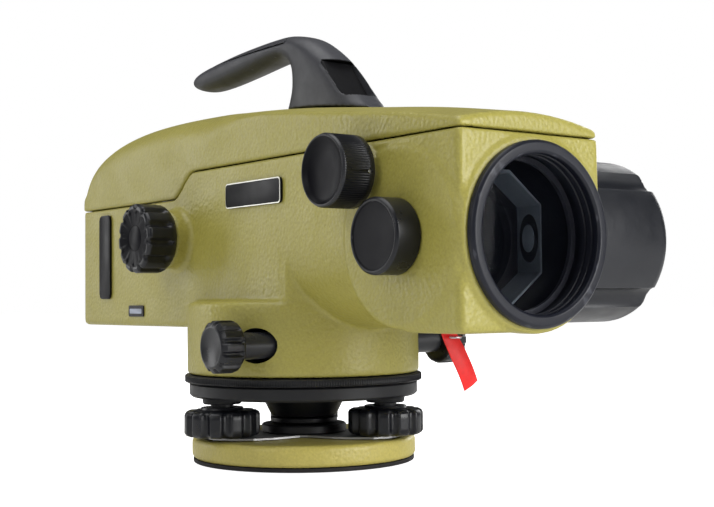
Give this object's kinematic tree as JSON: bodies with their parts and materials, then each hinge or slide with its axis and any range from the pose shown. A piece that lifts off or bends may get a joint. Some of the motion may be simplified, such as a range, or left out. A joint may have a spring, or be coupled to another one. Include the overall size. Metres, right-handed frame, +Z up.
{
  "type": "automatic level",
  "caption": "Self-levelling telescope with a tilting plate micrometer, top carrying handle, endless tangent drive and a three-screw levelling head",
  "frame": {"origin": "on the vertical axis at the underside of the base plate", "axes": "+Z up along the vertical axis, -Y along the line of sight out of the objective, +X to the side of the large micrometer drum"},
  "size_m": [0.143, 0.3308, 0.1918],
  "materials": {
    "base_paint": "satin olive paint with a fine texture",
    "housing_paint": "satin olive paint with a fine texture",
    "cover_paint": "satin olive paint with a fine texture",
    "base_rubber": "matt black rubber",
    "spring_steel": "thin spring steel",
    "nut_steel": "blackened steel",
    "collar_brass": "dull turned brass",
    "tribrach_black": "satin black anodised metal",
    "circle_black": "satin black, knurled edge",
    "worm_brass": "machined brass",
    "bright_steel": "turned steel",
    "handle_plastic": "satin charcoal plastic",
    "dark_glass": "dark sight window",
    "bezel_black": "smooth black",
    "window_glass": "clear window",
    "inner_black": "matt black lining",
    "inner_metal": "machined aluminium",
    "lens_glass": "coated optical glass",
    "vial_glass": "level vial",
    "nameplate_black": "plain black plate with a pale border",
    "strip_black": "plain dark strip",
    "label_black": "plain dark label",
    "tag_red": "red plastic strip",
    "small_knob_black": "fluted black plastic",
    "foot_knob_black": "fluted black plastic",
    "drum_black": "grooved black plastic",
    "knob_black": "glossy black plastic"
  },
  "bodies": {
    "base": {"base_plate": "base_paint", "base_pad": "base_rubber", "spring_plate": "spring_steel", "centre_nut": "nut_steel"},
    "footscrew_1": {"footscrew_1": "bright_steel", "footscrew_knob_1": "foot_knob_black"},
    "footscrew_2": {"footscrew_2": "bright_steel", "footscrew_knob_2": "foot_knob_black"},
    "footscrew_3": {"footscrew_3": "bright_steel", "footscrew_knob_3": "foot_knob_black"},
    "swivel": {"swivel_collar": "collar_brass"},
    "head": {"tribrach": "tribrach_black"},
    "circle": {"circle_ring": "circle_black"},
    "wheel": {"worm_wheel": "worm_brass"},
    "alidade": {"main_housing": "housing_paint", "top_cover": "cover_paint", "carry_handle": "handle_plastic", "handle_cap": "handle_plastic", "handle_screw": "bright_steel", "sight_window": "dark_glass", "front_bezel": "bezel_black", "front_window": "window_glass", "window_ring": "inner_black", "objective_cell": "inner_metal", "objective_lens": "lens_glass", "focus_rail": "bright_steel", "rail_stand_front": "inner_metal", "rail_stand_rear": "inner_metal", "compensator_frame": "inner_metal", "reticle_cell": "inner_metal", "reticle": "lens_glass", "eyepiece_tube": "bezel_black", "level_housing": "bezel_black", "level_vial": "vial_glass", "nameplate": "nameplate_black", "side_strip": "strip_black", "type_label": "label_black", "red_tag": "tag_red", "tag_screw": "bright_steel", "centre_spindle": "bright_steel"},
    "tangent": {"tangent_shaft": "bright_steel", "tangent_knob_left": "small_knob_black", "tangent_knob_right": "small_knob_black"},
    "plate": {"plate_frame": "inner_black", "parallel_plate": "lens_glass", "sector_gear": "worm_brass", "micrometer_drum": "drum_black", "pivot_cap": "knob_black"},
    "micrometer": {"micrometer_knob": "knob_black", "micrometer_pinion": "bright_steel"},
    "focus_knob": {"focus_knob": "knob_black", "focus_pinion": "bright_steel"},
    "focus_cell": {"focus_cell": "inner_metal", "focus_lens": "lens_glass"},
    "pendulum": {"pendulum": "inner_metal", "pendulum_prism": "lens_glass"},
    "eyepiece": {"eyepiece_ring": "knob_black", "eyepiece_lens": "lens_glass"}
  },
  "joints": [
    {"name": "footscrew_1_turn", "type": "hinge", "parent": "base", "child": "footscrew_1", "pos_m": [-0.04088, 0.00314, 0.008], "axis": [0, 0, 1], "range_deg": [-300, 300]},
    {"name": "footscrew_2_turn", "type": "hinge", "parent": "base", "child": "footscrew_2", "pos_m": [0.01772, -0.03698, 0.008], "axis": [0, 0, 1], "range_deg": [-300, 300]},
    {"name": "footscrew_3_turn", "type": "hinge", "parent": "base", "child": "footscrew_3", "pos_m": [0.02316, 0.03383, 0.008], "axis": [0, 0, 1], "range_deg": [-520, 520]},
    {"name": "tilt_a", "type": "hinge", "parent": "base", "child": "swivel", "pos_m": [-0.01158, -0.01691, 0.008], "axis": [-0.8251, 0.565, 0], "range_deg": [-1, 1]},
    {"name": "tilt_b", "type": "hinge", "parent": "swivel", "child": "head", "pos_m": [0, 0, 0.008], "axis": [0.565, 0.8251, 0], "range_deg": [-1, 1]},
    {"name": "circle_turn", "type": "hinge", "parent": "head", "child": "circle", "pos_m": [0, 0, 0.037], "axis": [0, 0, 1], "continuous": true},
    {"name": "coarse_turn", "type": "hinge", "parent": "head", "child": "wheel", "pos_m": [0, 0, 0.0525], "axis": [0, 0, 1], "continuous": true},
    {"name": "fine_turn", "type": "hinge", "parent": "wheel", "child": "alidade", "pos_m": [0, 0, 0.0525], "axis": [0, 0, 1], "continuous": true},
    {"name": "tangent_turn", "type": "hinge", "parent": "alidade", "child": "tangent", "pos_m": [0, -0.0285, 0.0525], "axis": [1, 0, 0], "continuous": true},
    {"name": "plate_tilt", "type": "hinge", "parent": "alidade", "child": "plate", "pos_m": [0, -0.1135, 0.0942], "axis": [1, 0, 0], "range_deg": [-12, 12]},
    {"name": "micrometer_turn", "type": "hinge", "parent": "alidade", "child": "micrometer", "pos_m": [-0.035, -0.091, 0.1195], "axis": [1, 0, 0], "range_deg": [-60.5, 60.5]},
    {"name": "focus_turn", "type": "hinge", "parent": "alidade", "child": "focus_knob", "pos_m": [-0.035, 0.0528, 0.1002], "axis": [1, 0, 0], "range_deg": [-160, 160]},
    {"name": "focus_slide", "type": "slide", "parent": "alidade", "child": "focus_cell", "axis": [0, 1, 0], "range_m": [-0.0118, 0.0118]},
    {"name": "pendulum_swing", "type": "hinge", "parent": "alidade", "child": "pendulum", "pos_m": [0, 0.1, 0.118], "axis": [1, 0, 0], "range_deg": [-1, 1]},
    {"name": "eyepiece_turn", "type": "hinge", "parent": "alidade", "child": "eyepiece", "pos_m": [0, 0.1615, 0.0942], "axis": [0, 1, 0], "range_deg": [-120, 120]}
  ],
  "couplings": [
    {"joint": "footscrew_1_turn", "follows": "tilt_b", "ratio": -297.46},
    {"joint": "footscrew_2_turn", "follows": "tilt_b", "ratio": 297.46},
    {"joint": "footscrew_3_turn", "follows": "tilt_a", "ratio": 515.22},
    {"joint": "tangent_turn", "follows": "fine_turn", "ratio": 72},
    {"joint": "micrometer_turn", "follows": "plate_tilt", "ratio": -5},
    {"joint": "focus_slide", "follows": "focus_turn", "m_per_rad": 0.0042}
  ]
}
